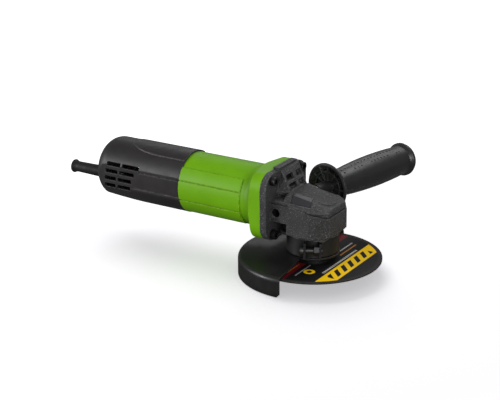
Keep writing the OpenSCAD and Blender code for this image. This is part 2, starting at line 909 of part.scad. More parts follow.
module cover_screw_places(z) {
    for (a = [45:90:315]) rotate(a) translate([cover_screw_r, 0, z]) children();
}

module head_cavities() {
    b = front_bearing;
    rotate_extrude() polygon([[0, -head_drop - cut], [chamber_r, -head_drop - cut], [chamber_r, -chamber_rim],
        [chamber_r - 8.5, -chamber_top], [0, -chamber_top]]);
    along_x(-front_bearing_back - cut, -front_bearing_x) circle(b[1]);
    along_x(-front_bearing_x - cut, -pinion_front - 1.5) circle(tunnel_r);
    along_x(-pinion_front - 2, -tunnel_end) circle(tunnel_tip_r);
    along_x(-parting_x - cut, -front_bearing_back) circle(b[1] + 5.2);
    translate([0, 0, -chamber_top - cut]) cylinder(r = bush_r, h = chamber_top + bush_high + cut);
    lock_place() translate([0, 0, -chamber_top - cut]) cylinder(r = lock_pin_r + run_gap, h = 12);
}

// boss round the top bush
module bush_boss() {
    tube_z(-bush_low, -chamber_top + 0.5, bush_r + 1.9, bush_r);
}

module lock_place() {
    rotate(lock_angle) translate([lock_r, 0, 0]) children();
}

module gear_housing() {
    color([0.2, 0.2, 0.2]) {
        difference() {
            union() {
                difference() {
                    union() {
                        head_wall();
                        head_cap();
                    }
                    screw_recesses();
                }
                flange_plate();
                grille_block();
            }
            head_cavities();
            windows();
            for (side = [-1, 1]) at_socket(side) {
                translate([0, 0, -socket_depth]) cylinder(r = stud_r, h = socket_depth + 3);
                translate([0, 0, -socket_depth - socket_tip]) cylinder(r1 = 0, r2 = stud_r, h = socket_tip);
                if (side > 0) translate([0, 0, -spot_depth]) cylinder(r = collar_r + 0.6, h = 5);
            }
            head_screw_places(-parting_x - cut) cylinder(r = screw_r + 0.2, h = head_plate + 2 * cut);
            head_screw_places(-plate_x) cylinder(r = screw_head_r + 0.6, h = 8);
            button_turn() translate([pocket[0], pocket[1], pocket_floor]) cube([pocket[2], pocket[3], 30]);
            cover_screw_places(-head_drop - cut)
                cylinder(r = cover_screw[0] - seat_gap, h = cover_screw[2] - 1);
            retainer_screw_places(-front_bearing_back) translate([0, 0, -cut]) cylinder(r = 1.2, h = 7);
        }
        difference() {
            bush_boss();
            lock_place() translate([0, 0, -20]) cylinder(r = lock_pin_r + run_gap, h = 30);
        }
    }
}

module lock_button() {
    color([0.16, 0.16, 0.17]) {
        difference() {
            button_turn() translate([pocket[0] + button_gap, pocket[1] + button_gap, button_low])
                cube([pocket[2] - 2 * button_gap, pocket[3] - 2 * button_gap, 20]);
            cap_top();
            mirror([0, 1, 0]) cap_flank();
            lock_place() translate([0, 0, button_low - cut])
                cylinder(r = lock_spring_r + 0.9, h = lock_cup + cut);
        }
        lock_place() translate([0, 0, lock_travel - web_top - lock_grip])
            cylinder(r = lock_pin_r, h = web_top + lock_grip - lock_travel + button_low + lock_cup + 1);
    }
}

module lock_spring() {
    color("silver") lock_place() translate([0, 0, pocket_floor + seat_gap])
        coil_spring(lock_spring_r, 0.25, button_low + lock_cup - pocket_floor - 2 * seat_gap, 4);
}

// --- gears and spindle ---

function involute(a) = tan(a) - a * PI / 180;

// half angle of a pinion tooth at a radius, in degrees
function pinion_half(r) = let (
    base = pinion_pitch_r * cos(pressure_a),
    here = r > base ? acos(base / r) : 0
) pinion_tooth_w / 2 / pinion_pitch_r * 180 / PI + (involute(pressure_a) - involute(here)) * 180 / PI;

function at(r, a) = [r * cos(a), r * sin(a)];

// outline of the pinion at its large end, one tooth pointing down
module pinion_outline() {
    steps = 5;
    tip = pinion_pitch_r + pinion_add;
    radii = [for (i = [0:steps]) pinion_root_r + (tip - pinion_root_r) * i / steps];
    polygon([for (t = [0:pinion_teeth - 1]) let (mid = -90 + t * 360 / pinion_teeth)
        each concat([for (r = radii) at(r, mid - pinion_half(r))],
            [for (i = [steps:-1:0]) at(radii[i], mid + pinion_half(radii[i]))])]);
}

module pinion() {
    color("silver") difference() {
        union() {
            translate([-crown_pitch_r, 0, 0]) rotate([90, 0, 90])
                linear_extrude(gear_face * sin(crown_cone), scale = face_ratio) pinion_outline();
            along_x(-pinion_back + 0.05, -crown_pitch_r + 0.01) circle(pinion_root_r);
        }
        along_x(-pinion_back - cut, -pinion_front + cut) circle(shaft_nose_r + seat_gap);
    }
}

// point of a crown tooth: distance along the cone, height over it, offset across it
function crown_point(len, h, across, a) = let (
    r = len * sin(crown_cone) + h * cos(crown_cone),
    z = -len * cos(crown_cone) + h * sin(crown_cone)
) [r * cos(a) - across * sin(a), r * sin(a) + across * cos(a), z];

// section of a crown tooth, scaled towards the apex
function crown_section(k, a) = let (
    w = crown_tooth_w / 2,
    low = crown_ded + 0.2,
    side = [[-low, w + low * tan(pressure_a)], [crown_add, w - crown_add * tan(pressure_a)]]
) [for (p = [[side[0][0], -side[0][1]], [side[1][0], -side[1][1]], side[1], side[0]])
    crown_point(cone_len * k, p[0] * k, p[1] * k, a)];

module crown_tooth(a) {
    polyhedron(concat(crown_section(1, a), crown_section(face_ratio, a)), [
        [0, 1, 2, 3], [7, 6, 5, 4], [4, 5, 1, 0], [5, 6, 2, 1], [6, 7, 3, 2], [7, 4, 0, 3]]);
}

function crown_rim(k) = [
    cone_len * k * sin(crown_cone) - crown_ded * k * cos(crown_cone),
    -cone_len * k * cos(crown_cone) - crown_ded * k * sin(crown_cone)
];

module crown_gear() {
    outer = crown_rim(1);
    inner = crown_rim(face_ratio);
    color("silver") difference() {
        union() {
            rotate_extrude() polygon([[0, -spindle_bearing_z + 0.05],
                [crown_hub_r, -spindle_bearing_z + 0.05],
                [crown_hub_r, outer[1] - 5.4], [outer[0] - 1, outer[1] - 5], [outer[0], outer[1] - 4],
                outer, inner, [inner[0] - 0.4, -web_top], [crown_hub_r, -web_top],
                    [crown_hub_r, -crown_hub_top - 0.6],
                [crown_hub_r - 0.6, -crown_hub_top], [0, -crown_hub_top]]);
            for (t = [0:crown_teeth - 1]) crown_tooth(180 + (t + 0.5) * 360 / crown_teeth);
        }
        translate([0, 0, -30]) cylinder(r = crown_bore + seat_gap, h = 30);
        lock_pockets();
    }
}

// curved blind pockets for the lock pin, parted by ribs
module lock_pockets() {
    half = 180 / lock_ribs - asin(lock_rib_w / 2 / lock_r);
    depth = lock_grip + 0.5;
    for (i = [0:lock_ribs - 1]) rotate(lock_angle + lock_turn + i * 360 / lock_ribs)
        translate([0, 0, -web_top - depth]) linear_extrude(depth + cut)
            ring_slice(lock_r - lock_hole_r, lock_r + lock_hole_r, -half, half);
}

module spindle() {
    color("lightgray") rotate_extrude() polygon([[0, bush_high - 0.4], [bush_bore - 0.5, bush_high - 0.4],
        [bush_bore - run_gap, bush_high - 1], [bush_bore - run_gap, -crown_hub_top + 0.2],
        [crown_bore, -crown_hub_top], [crown_bore, -spindle_bearing_z],
            [spindle_bearing[0], -spindle_bearing_z],
        [spindle_bearing[0], -spindle_bearing_low], [shoulder_r, -spindle_bearing_low],
            [shoulder_r, -shoulder_z],
        [thread_r, -shoulder_z], [thread_r, -spindle_end + 0.8], [thread_r - 0.8, -spindle_end],
            [0, -spindle_end]]);
}

module spindle_bush() {
    color("goldenrod") tube_z(-bush_low, bush_high - 0.1, bush_r - seat_gap, bush_bore);
}

module spindle_bearing_outer() {
    color("silver") translate([0, 0, -spindle_bearing_low]) bearing_outer(spindle_bearing);
}

module spindle_bearing_inner() {
    color("silver") translate([0, 0, -spindle_bearing_low]) bearing_inner(spindle_bearing);
}

module spindle_seal() {
    color("black") tube_z(-neck_bottom + 3.2, -neck_bottom + 6.2, spindle_bearing[1] - 0.8,
        shoulder_r + run_gap);
}

module spindle_cover() {
    color([0.25, 0.25, 0.25]) difference() {
        union() {
            translate([0, 0, -cover_bottom]) cylinder(r = recess_r - 0.3, h = cover_t - seat_gap);
            translate([0, 0, -cover_bottom]) linear_extrude(cover_t - seat_gap)
                rounded(2 * (cover_screw_r / sqrt(2) + cover_ear),
                    2 * (cover_screw_r / sqrt(2) + cover_ear), cover_ear);
            translate([0, 0, -neck_bottom]) cylinder(r = neck_r, h = neck_h + cut);
            translate([0, 0, -cover_bottom + cut])
                cylinder(r = chamber_r - 0.1, h = cover_bottom - spindle_bearing_z + 0.2 - cut);
        }
        translate([0, 0, -spindle_bearing_low]) cylinder(r = spindle_bearing[1], h = 20);
        translate([0, 0, -neck_bottom + 3.2]) cylinder(r = spindle_bearing[1] - 0.8 + seat_gap, h = 20);
        translate([0, 0, -neck_bottom - cut]) cylinder(r = shoulder_r + 1.2, h = 20);
        cover_screw_places(-cover_bottom) {
            translate([0, 0, -cut]) cylinder(r = cover_screw[0] + 0.15, h = cover_t + 2 * cut);
            translate([0, 0, -0.05]) cylinder(r1 = cover_screw[1] + 0.15, r2 = cover_screw[0] + 0.15,
                h = cover_screw[1] - cover_screw[0]);
        }
    }
}

// --- disc, flanges and guard ---

module inner_flange() {
    color("gray") difference() {
        union() {
            translate([0, 0, -disc_drop]) cylinder(r = 20, h = 2.6);
            translate([0, 0, -disc_drop + 2.6]) cylinder(r1 = 18.6, r2 = 14, h = flange_t - 2.6);
            translate([0, 0, -disc_low + 0.2]) cylinder(r = disc_bore_r - run_gap, h = disc_t);
        }
        translate([0, 0, -disc_low - cut]) cylinder(r = thread_r + run_gap, h = 2 * flange_t);
    }
}

module cutting_disc() {
    color([0.12, 0.12, 0.12]) tube_z(-disc_low, -disc_drop, disc_r, disc_bore_r);
}

module lock_nut() {
    color("gray") difference() {
        union() {
            translate([0, 0, -disc_low - 2.6]) cylinder(r = 19.5, h = 2.6);
            translate([0, 0, -disc_low - nut_t]) cylinder(r1 = 15.5, r2 = 17, h = nut_t - 2.6);
        }
        translate([0, 0, -disc_low - nut_t - cut]) cylinder(r = thread_r + seat_gap, h = nut_t + 2 * cut);
        translate([0, 0, -disc_low - 0.4]) cylinder(r = disc_bore_r + 0.6, h = cut);
        for (x = [-1, 1]) translate([x * nut_pin_x, 0, -disc_low - nut_t - cut])
            cylinder(r = nut_pin_r, h = 4 + cut);
    }
}

// sheet outline of the hood as (radius, z)
module hood_outline() {
    from = guard_neck_r + 3;
    bend_r = guard_r - hood_bend;
    top = -guard_shoulder;
    polygon([[from, top + hood_dish], [bend_r, top], [bend_r, top - guard_t],
        [from, top + hood_dish - guard_t]]);
    intersection() {
        translate([bend_r, top - hood_bend]) difference() {
            circle(hood_bend);
            circle(hood_bend - guard_t);
        }
        translate([bend_r - 0.01, top - hood_bend - 0.01]) square(hood_bend + cut);
    }
    translate([guard_r - guard_t, -guard_low]) square([guard_t, guard_low + top - hood_bend]);
}

module wheel_guard() {
    start = guard_middle - guard_sweep / 2;
    out = guard_neck_r + guard_neck_t;
    top = -guard_shoulder + hood_dish;
    color([0.1, 0.1, 0.1]) difference() {
        union() {
            rotate(start) rotate_extrude(angle = guard_sweep) hood_outline();
            rotate_extrude() polygon([[guard_neck_r, top - guard_t], [guard_neck_r, -band_top - 0.6],
                [out, -band_top - 0.6],
                [out, top + 0.1], [guard_neck_r + 4, top - 0.1], [guard_neck_r + 4, top - 0.1 - guard_t]]);
        }
        for (a = [start, start + guard_sweep]) rotate(a) translate([guard_r, 0, -guard_low])
            rotate([45, 0, 0])
            cube([8, 3.4, 3.4], center = true);
    }
}

module band_ring(r0, r1) {
    tube_z(-band_low, -band_top, r1, r0);
}

module guard_clamp() {
    r1 = band_r + band_t;
    color([0.15, 0.15, 0.15]) rotate(ear_dir) difference() {
        union() {
            difference() {
                band_ring(band_r, r1);
                translate([0, -ear_gap / 2, -band_low - cut]) cube([2 * r1, ear_gap, 30]);
            }
            for (y = [-1, 1]) translate([band_r - 1.6, y > 0 ? ear_gap / 2 : -ear_gap / 2 - ear_t, -band_low])
                intersection() {
                    cube([ear_len + 1, ear_t, band_low - band_top]);
                    translate([-cut, -cut, 0.8]) cube([ear_len + 5, ear_t + 5, band_low - band_top - 1.6]);
                }
        }
        band_bore();
        translate([ear_x(), -ear_gap, ear_z()]) rotate([-90, 0, 0])
            cylinder(r = clamp_screw_r + 0.15, h = 2 * ear_gap);
    }
}

function ear_x() = band_r + 4.6;
function ear_z() = -(band_low + band_top) / 2;

module band_bore() {
    translate([0, 0, -band_low - cut]) cylinder(r = band_r, h = 30);
}

module clamp_screw() {
    color("silver") rotate(ear_dir) translate([ear_x(), -ear_gap / 2 - ear_t, ear_z()]) rotate([90, 0, 0])
        difference() {
        union() {
            translate([0, 0, 0.05]) cylinder(r = 4.2, h = 3);
            translate([0, 0, -ear_gap - 2 * ear_t - clamp_screw_tail])
                cylinder(r = clamp_screw_r, h = ear_gap + 2 * ear_t + clamp_screw_tail + 0.1);
        }
        translate([0, 0, 1.4]) cylinder(r = 2.3, h = 4, $fn = 6);
    }
}

module clamp_nut() {
    color("silver") rotate(ear_dir) translate([ear_x(), ear_gap / 2 - 4.6, ear_z()]) rotate([-90, 0, 0])
        hex_nut(8, 4.5, clamp_screw_r + seat_gap);
}

// --- motor ---

module pinion_nut() {
    color("silver") translate([-pinion_front + seat_gap, 0, 0]) rotate([0, 90, 0])
        hex_nut(pinion_nut_w, pinion_nut_t, shaft_nose_r + seat_gap);
}

module armature_shaft() {
    nose = -pinion_front + pinion_nut_t + 0.5;
    color("lightgray") round_x() polygon([[0, -rear_bearing_back], [rear_bearing[0], -rear_bearing_back],
        [rear_bearing[0], -rear_bearing_x], [shaft_r, -rear_bearing_x], [shaft_r, -pinion_back],
        [shaft_nose_r, -pinion_back], [shaft_nose_r, nose - 0.4], [shaft_nose_r - 0.4, nose], [0, nose]]);
}

module armature_core() {
    color("darkgray") along_x(-core_x - core_len, -core_x) difference() {
        circle(core_r);
        circle(shaft_r + seat_gap);
        for (i = [0:slots - 1]) rotate(i * 360 / slots) {
            translate([core_r - 4, 0]) circle(slot_r);
            translate([core_r - 4, -0.6]) square([6, 1.2]);
        }
    }
}

// rounded bundle of end turns, as (radius, x)
module end_turns(from, to) {
    r0 = shaft_r + 0.6;
    r1 = core_r - 1.4;
    bend = 2;
    translate([r0, from]) square([r1 - r0 - bend, to - from]);
    translate([r0, from + bend]) square([r1 - r0, to - from - 2 * bend]);
    for (x = [from + bend, to - bend]) translate([r1 - bend, x]) circle(bend);
}

module armature_windings() {
    color("darkorange") {
        round_x() end_turns(-core_x + 0.05, -core_x + 6.5);
        round_x() end_turns(-core_x - core_len - 6.5, -core_x - core_len - 0.05);
        along_x(-core_x - core_len - 1, -core_x + 1) for (i = [0:slots - 1]) rotate(i * 360 / slots)
            translate([core_r - 4, 0]) circle(slot_r - 0.1);
    }
}

module commutator() {
    bars = 24;
    color("peru") difference() {
        union() {
            tube_x(-commutator_x - commutator_len, -commutator_x, commutator_r, shaft_r + seat_gap);
            tube_x(-commutator_x - 2.2, -commutator_x, commutator_r + 1.2, shaft_r + seat_gap);
        }
        for (i = [0:bars - 1]) rotate([i * 360 / bars, 0, 0])
            translate([-commutator_x - commutator_len - cut, -0.2, commutator_r - 0.7])
                cube([commutator_len + 2 * cut, 0.4, 4]);
    }
}

module cooling_fan() {
    blades = 16;
    hub_r = shaft_r + 3;
    color("whitesmoke") {
        tube_x(-fan_x - fan_depth, -fan_x, hub_r, shaft_r + seat_gap);
        tube_x(-fan_x - fan_plate, -fan_x, fan_r, shaft_r + seat_gap);
        along_x(-fan_x - fan_depth, -fan_x - fan_plate + 0.2) for (i = [0:blades - 1])
            rotate(i * 360 / blades)
            translate([hub_r - 0.6, 0]) rotate(18) square([(fan_r - hub_r) * 1.03, 1]);
    }
}

module front_bearing_place() {
    translate([-front_bearing_back, 0, 0]) rotate([0, 90, 0]) children();
}

module front_bearing_outer() {
    color("silver") front_bearing_place() bearing_outer(front_bearing);
}

module front_bearing_inner() {
    color("silver") front_bearing_place() bearing_inner(front_bearing);
}

module rear_bearing_place() {
    translate([-rear_bearing_back, 0, 0]) rotate([0, 90, 0]) children();
}

module rear_bearing_outer() {
    color("silver") rear_bearing_place() bearing_outer(rear_bearing);
}

module rear_bearing_inner() {
    color("silver") rear_bearing_place() bearing_inner(rear_bearing);
}

module bearing_sleeve() {
    color("black") tube_x(-rear_bearing_back - 1, -rear_bearing_x, rear_bearing[1] + 2, rear_bearing[1]);
}

module retainer_screw_places(x) {
    for (side = [-1, 1], a = retainer_screw_a) rotate([side * a, 0, 0])
        translate([x, 0, front_bearing[1] + 2.4]) rotate([0, 90, 0]) children();
}

module bearing_retainer() {
    color("gray") difference() {
        tube_x(-front_bearing_back - retainer_t, -front_bearing_back - seat_gap, front_bearing[1] + 4.9,
            front_bearing[1] - 3);
        retainer_screw_places(-front_bearing_back - 5) cylinder(r = 1.65, h = 10);
    }
}

module retainer_screws() {
    color("silver") retainer_screw_places(-front_bearing_back - retainer_t) mirror([0, 0, 1])
        screw(1.18, 6.5, 2.6, 1.4);
}

module stator_core() {
    color("darkgray") along_x(-stator_x - stator_len, -stator_x) difference() {
        intersection() {
            circle(stator_r);
            square([2 * stator_flat, 3 * stator_r], center = true);
        }
        circle(stator_bore);
        for (m = [0, 1], n = [0, 1]) mirror([m, 0]) mirror([0, n])
            ring_slice(stator_bore - 1, coil_r1 + 0.3, coil_a0 - 1.5, coil_a1 + 1.5);
    }
}

// (y, z) arc of one field coil
module coil_arc(a0, a1) {
    ring_slice(coil_r0, coil_r1, a0, a1);
}

module field_coils() {
    color("darkorange") for (n = [0, 1]) mirror([0, 0, n]) {
        for (m = [0, 1]) mirror([0, m, 0])
            along_x(-stator_x - stator_len - coil_end, -stator_x + coil_end - 0.6) coil_arc(coil_a0, coil_a1);
        for (x = [-stator_x + 0.5, -stator_x - stator_len - coil_end]) {
            along_x(x, x + coil_end - 1.1) for (m = [0, 1]) mirror([m, 0]) coil_arc(coil_a0, 90.5);
        }
    }
}

module air_baffle() {
    color("dimgray") difference() {
        union() {
            tube_x(-baffle_x - baffle_t, -baffle_x, barrel_in_r - 0.2, core_r + 1.8);
            tube_x(-baffle_x - baffle_t, -baffle_x + 0.6, core_r + 3, core_r + 1.8);
        }
    }
}

// places local +Z outward at the two brushes
module brush_places() {
    for (n = [0, 1]) mirror([0, 0, n])
        translate([-commutator_x - commutator_len / 2, 0, commutator_r + run_gap]) children();
}

module brush_holders() {
    top = barrel_in_r - commutator_r - run_gap - 0.3;
    color("gold") brush_places() difference() {
        translate([-brush_l / 2 - holder_wall, -brush_w / 2 - holder_wall, 1.6])
            cube([brush_l + 2 * holder_wall, brush_w + 2 * holder_wall, top - 1.6]);
        translate([-brush_l / 2 - run_gap, -brush_w / 2 - run_gap, -cut])
            cube([brush_l + 2 * run_gap, brush_w + 2 * run_gap, top + cut - holder_wall]);
    }
}

module carbon_brushes() {
    color([0.2, 0.2, 0.2]) brush_places() difference() {
        translate([-brush_l / 2, -brush_w / 2, -0.8]) cube([brush_l, brush_w, brush_h + 0.8]);
        translate([-brush_l, 0, -commutator_r - run_gap]) rotate([0, 90, 0])
            cylinder(r = commutator_r + run_gap, h = 2 * brush_l);
    }
}

module brush_springs() {
    top = barrel_in_r - commutator_r - run_gap - 0.3 - holder_wall;
    color("silver") brush_places() translate([0, 0, brush_h + seat_gap])
        coil_spring(brush_spring_r, 0.2, top - brush_h - 2 * seat_gap, 4);
}

// --- switch train ---

module slide_button() {
    stem = stem_x();
    y0 = pad_flat + free_gap;
    color([0.15, 0.15, 0.15]) {
        difference() {
            translate([-switch_x, 0, 0]) along_x(0, switch_len) intersection() {
                translate([y0, -6.5]) square([button_h, 13]);
                translate([y0 + button_h - 16, 0]) circle(16);
            }
            for (i = [0:4]) translate([-switch_x + switch_len - 6 - i * 3, y0 + button_h - 0.6, -10])
                cube([1.2, 2, 20]);
        }
        translate([-stem[0], rod_in + rod_t, -rod_h / 2])
            cube([stem[0] - stem[1], y0 + 0.5 - rod_in - rod_t, rod_h]);
    }
}

module switch_rod() {
    stem = stem_x();
    color("dimgray") {
        translate([-finger_x - finger_l, rod_in, -rod_h / 2])
            cube([finger_x + finger_l - stem[1], rod_t - 0.01, rod_h]);
        translate([-finger_x - finger_l, rod_in - 2.2, -rod_h / 2]) cube([finger_l, 2.5, rod_h]);
    }
}

module switch_module() {
    color([0.1, 0.1, 0.1]) difference() {
        translate([-module_x[1], module_y[0], -module_h / 2])
            cube([module_x[1] - module_x[0], module_y[1] - module_y[0], module_h]);
        translate([-finger_x - finger_l - 0.4, rod_in - 2.6, -rod_h / 2 - 0.4])
            cube([finger_l + switch_travel + 0.8, 4, rod_h + 0.8]);
    }
}

module capacitor() {
    color("khaki") translate([-cap_box[0] - cap_box[1], cap_box[2], cap_box[4]])
        cube([cap_box[1], cap_box[3], cap_box[5]]);
}

// --- side handle ---

module handle_place() {
    at_socket(1) children();
}

module handle_stud() {
    grip_from = handle_standoff + 40;
    color("silver") handle_place() difference() {
        union() {
            translate([0, 0, -socket_depth + 0.5]) cylinder(r = stud_r - seat_gap, h = socket_depth);
            translate([0, 0, seat_gap - spot_depth]) cylinder(r = collar_r, h = collar_len + spot_depth);
            translate([0, 0, collar_len]) cylinder(r = handle_bore - seat_gap, h = grip_from - collar_len);
        }
    }
}

// radius of the grip at a distance along the handle
function grip_at(z) = grip_r - grip_sag * pow((z - grip_peak) / (grip_end - grip_start), 2);

// (radius, distance) outline of the grip and its knob
function grip_outline() = let (
    to = grip_end
) concat(
    [for (t = [0:0.125:1])
        let (z = grip_start + (to - grip_start) * t) [grip_at(z), z]],
    [[knob_r - 1.2, to + 1.6], [knob_r, to + 3.4], [knob_r, to + 5], [knob_r - 1.4, to + 7.6],
        [knob_r - 5, to + 9.8], [knob_r - 10, to + knob_len], [0, to + knob_len]]
);

module side_handle() {
    z0 = handle_standoff;
    r = handle_flange_r;
    ribs = 12;
    color([0.18, 0.18, 0.18]) handle_place() difference() {
        union() {
            rotate_extrude() polygon(concat([[0, z0 + 2]], [[grip_r - 2.2, z0 + 2], [grip_r - 2.2, z0 + 6]],
                grip_outline()));
            rotate_extrude() difference() {
                polygon([[0, z0 + 1], [r - 1.6, z0 - 0.6], [r, z0 + 0.4], [r, z0 + 1.6], [r - 1.4, z0 + 3.4],
                    [grip_r - 0.5, z0 + 7], [0, z0 + 9]]);
                polygon([[0, z0 - 2], [r - 1.9, z0 - 2], [r - 1.9, z0 + 1.4], [grip_r - 3, z0 + 4.6],
                    [0, z0 + 4.6]]);
            }
            translate([0, 0, z0 + 0.6]) tube_z(0, 5, r * 0.66, r * 0.66 - 1.2);
            for (i = [0:ribs - 1]) rotate(i * 360 / ribs)
                translate([handle_bore + 1, -0.6, z0 + 0.6]) cube([r - 3.2 - handle_bore, 1.2, 5]);
            translate([0, 0, collar_len + 0.5]) cylinder(r = handle_bore + 1.6, h = z0 + 6 - collar_len);
        }
        translate([0, 0, -cut]) cylinder(r = handle_bore, h = handle_standoff + 40 + cut);
        grip_dimples();
    }
}

// rows of small pits between the smooth panels, the same on both sides of the grip
module grip_dimples() {
    from = grip_start + 12;
    step = (grip_end - 9 - from) / (grip_pits - 1);
    for (side = [0, 180], a = grip_pit_rows, i = [0:grip_pits - 1]) {
        z = from + step * i;
        rotate(side + a) translate([grip_at(z) + 0.3, 0, z]) sphere(grip_pit_r, $fn = 16);
    }
}

// --- cable boot and small parts ---

module cable_boot() {
    seat = -rear_x + rear_wall + boot_seat + seat_gap;
    color([0.12, 0.12, 0.12]) translate([0, 0, -boot_drop]) round_x() difference() {
        polygon([[0, seat + 3], [boot_root_r + 1.3, seat + 3], [boot_root_r + 1.3, seat],
            [boot_root_r, seat], [boot_root_r, -rear_x],
            [boot_tip_r, -rear_x - boot_len + 5], [boot_tip_r + 0.5, -rear_x - boot_len + 2.4],
            [boot_tip_r + 1.4, -rear_x - boot_len + 1], [boot_tip_r + 1.2, -rear_x - boot_len],
                [0, -rear_x - boot_len]]);
        translate([0, -rear_x - boot_len - cut]) square([cable_r + 0.1, boot_len + 20]);
    }
}

module clamp_plate_outline() {
    half = saddle_y + 3.6;
    top = -boot_drop + 4.6;
    low = -boot_drop - cable_r + seat_gap;
    difference() {
        translate([-half, low]) square([2 * half, top - low]);
        translate([0, -boot_drop]) circle(cable_r + 0.1);
        translate([-cable_r - 0.1, low - cut]) square([2 * cable_r + 0.2, cable_r + cut]);
    }
}

module cable_clamp() {
    color("dimgray") difference() {
        along_x(-saddle_x - saddle_w / 2, -saddle_x + saddle_w / 2) clamp_plate_outline();
        for (y = [-1, 1]) translate([-saddle_x, y * saddle_y, -30]) cylinder(r = 1.7, h = 60);
    }
}

module clamp_plate_screws() {
    color("silver") for (y = [-1, 1]) translate([-saddle_x, y * saddle_y, -boot_drop + 4.62])
        screw(1.38, saddle_screw, 2.8, 2);
}

module head_screws() {
    color("silver") head_screw_places(-plate_x + seat_gap)
        screw(screw_r, screw_len, screw_head_r, screw_head_h);
}

module cover_screws() {
    color("dimgray") cover_screw_places(-cover_bottom) mirror([0, 0, 1])
        flat_screw(cover_screw[0] - 0.05, cover_screw[1] - 0.05, cover_screw[2] - 0.6);
}

module rear_screws() {
    color("silver") rear_screw_places() translate([0, 0, rear_r - rear_screw_sink])
        flat_screw(rear_screw[0], rear_screw[1], rear_screw[2]);
}

motor_housing();
rear_housing();
gear_housing();
spindle_cover();
wheel_guard();
guard_clamp();
clamp_screw();
clamp_nut();
cutting_disc();
inner_flange();
lock_nut();
spindle();
crown_gear();
spindle_bearing_outer();
spindle_bearing_inner();
spindle_bush();
spindle_seal();
pinion();
pinion_nut();
armature_shaft();
armature_core();
armature_windings();
commutator();
cooling_fan();
front_bearing_outer();
front_bearing_inner();
rear_bearing_outer();
rear_bearing_inner();
bearing_sleeve();
bearing_retainer();
stator_core();
field_coils();
air_baffle();
brush_holders();
carbon_brushes();
brush_springs();
lock_button();
lock_spring();
slide_button();
switch_rod();
switch_module();
capacitor();
side_handle();
handle_stud();
cable_boot();
cable_clamp();
head_screws();
cover_screws();
retainer_screws();
clamp_plate_screws();
rear_screws();
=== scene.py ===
import math

import bpy
from mathutils import Matrix, Vector


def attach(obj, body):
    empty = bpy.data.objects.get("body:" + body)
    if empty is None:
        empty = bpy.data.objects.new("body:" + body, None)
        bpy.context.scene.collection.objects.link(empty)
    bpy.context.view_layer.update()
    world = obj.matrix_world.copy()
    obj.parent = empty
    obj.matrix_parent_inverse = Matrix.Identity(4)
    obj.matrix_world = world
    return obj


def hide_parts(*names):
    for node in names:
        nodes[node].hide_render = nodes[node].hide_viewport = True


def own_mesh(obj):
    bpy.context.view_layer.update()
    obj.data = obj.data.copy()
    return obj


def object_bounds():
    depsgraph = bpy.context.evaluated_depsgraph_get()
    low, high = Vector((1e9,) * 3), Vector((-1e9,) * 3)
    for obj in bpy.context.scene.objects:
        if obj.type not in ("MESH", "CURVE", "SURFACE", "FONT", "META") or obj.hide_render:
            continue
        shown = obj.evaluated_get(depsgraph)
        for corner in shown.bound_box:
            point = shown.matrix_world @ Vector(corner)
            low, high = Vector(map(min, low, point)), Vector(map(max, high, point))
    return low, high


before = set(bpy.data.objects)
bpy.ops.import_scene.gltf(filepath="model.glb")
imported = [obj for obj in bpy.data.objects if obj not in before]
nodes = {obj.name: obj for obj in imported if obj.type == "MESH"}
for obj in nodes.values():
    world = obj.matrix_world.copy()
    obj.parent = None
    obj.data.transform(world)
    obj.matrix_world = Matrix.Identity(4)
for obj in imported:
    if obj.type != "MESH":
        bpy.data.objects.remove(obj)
cadBox = [list(corner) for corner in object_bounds()]
print("frame loaded,", len(nodes), "nodes")

smoothAngle = math.radians(40)  # edges blunter than this are shaded smooth


# the camera stands in front of the head, on the side away from the handle
camera = {
    "spot": (0.5755, -1.0153, 0.4344),
    "azimuth": 32.3,
    "elevation": 20.2,
    "roll": -0.52,
    "lens": 100.8,
    "sensor": 36,
    "nearest": 0.05,
    "farthest": 20,
}


def addCamera():
    turn = math.radians(camera["azimuth"])
    lift = math.radians(camera["elevation"])
    roll = Matrix.Rotation(math.radians(camera["roll"]), 4, "Z")
    back = Vector((math.sin(turn) * math.cos(lift), -math.cos(turn) * math.cos(lift), math.sin(lift)))
    right = Vector((math.cos(turn), math.sin(turn), 0))
    up = back.cross(right)
    pose = Matrix((right, up, back)).transposed().to_4x4() @ roll
    pose.translation = camera["spot"]
    data = bpy.data.cameras.new("mainCamera")
    data.lens = camera["lens"]
    data.sensor_width = camera["sensor"]
    data.clip_start = camera["nearest"]
    data.clip_end = camera["farthest"]
    item = bpy.data.objects.new("mainCamera", data)
    item.matrix_world = pose
    bpy.context.scene.collection.objects.link(item)
    bpy.context.scene.camera = item


addCamera()
print("camera set")


# helpers that build the nodes of a finish

def put(tree, kind, sockets=None, **settings):
    node = tree.nodes.new("ShaderNode" + kind)
    for name, value in settings.items():
        setattr(node, name, value)
    for key, value in (sockets or {}).items():
        fill(tree, node.inputs[key], value)
    return node


def fill(tree, socket, value):
    if isinstance(value, bpy.types.NodeSocket):
        tree.links.new(value, socket)
    else:
        socket.default_value = value


def calc(tree, operation, a, b=0.0):
    return put(tree, "Math", {0: a, 1: b}, operation=operation).outputs[0]


def times(tree, a, b):
    return calc(tree, "MULTIPLY", a, b)


def wave(tree, value, beat):
    return calc(tree, "SINE", times(tree, value, beat))


def noise(tree, place, scale, layers=4, rough=0.5):
    sockets = {"Vector": place, "Scale": scale, "Detail": layers, "Roughness": rough}
    return put(tree, "TexNoise", sockets).outputs[0]


def spread(tree, value, low, high, toLow=0.0, toHigh=1.0):
    return put(tree, "MapRange", {0: value, 1: low, 2: high, 3: toLow, 4: toHigh}).outputs[0]


def blendColor(tree, share, first, second):
    # inputs 6 and 7 and output 2 are the colour sockets of the node
    node = put(tree, "Mix", {0: share}, data_type="RGBA", blend_type="MIX")
    for socket, color in ((node.inputs[6], first), (node.inputs[7], second)):
        fill(tree, socket, (*color, 1.0) if isinstance(color, tuple) else color)
    return node.outputs[2]


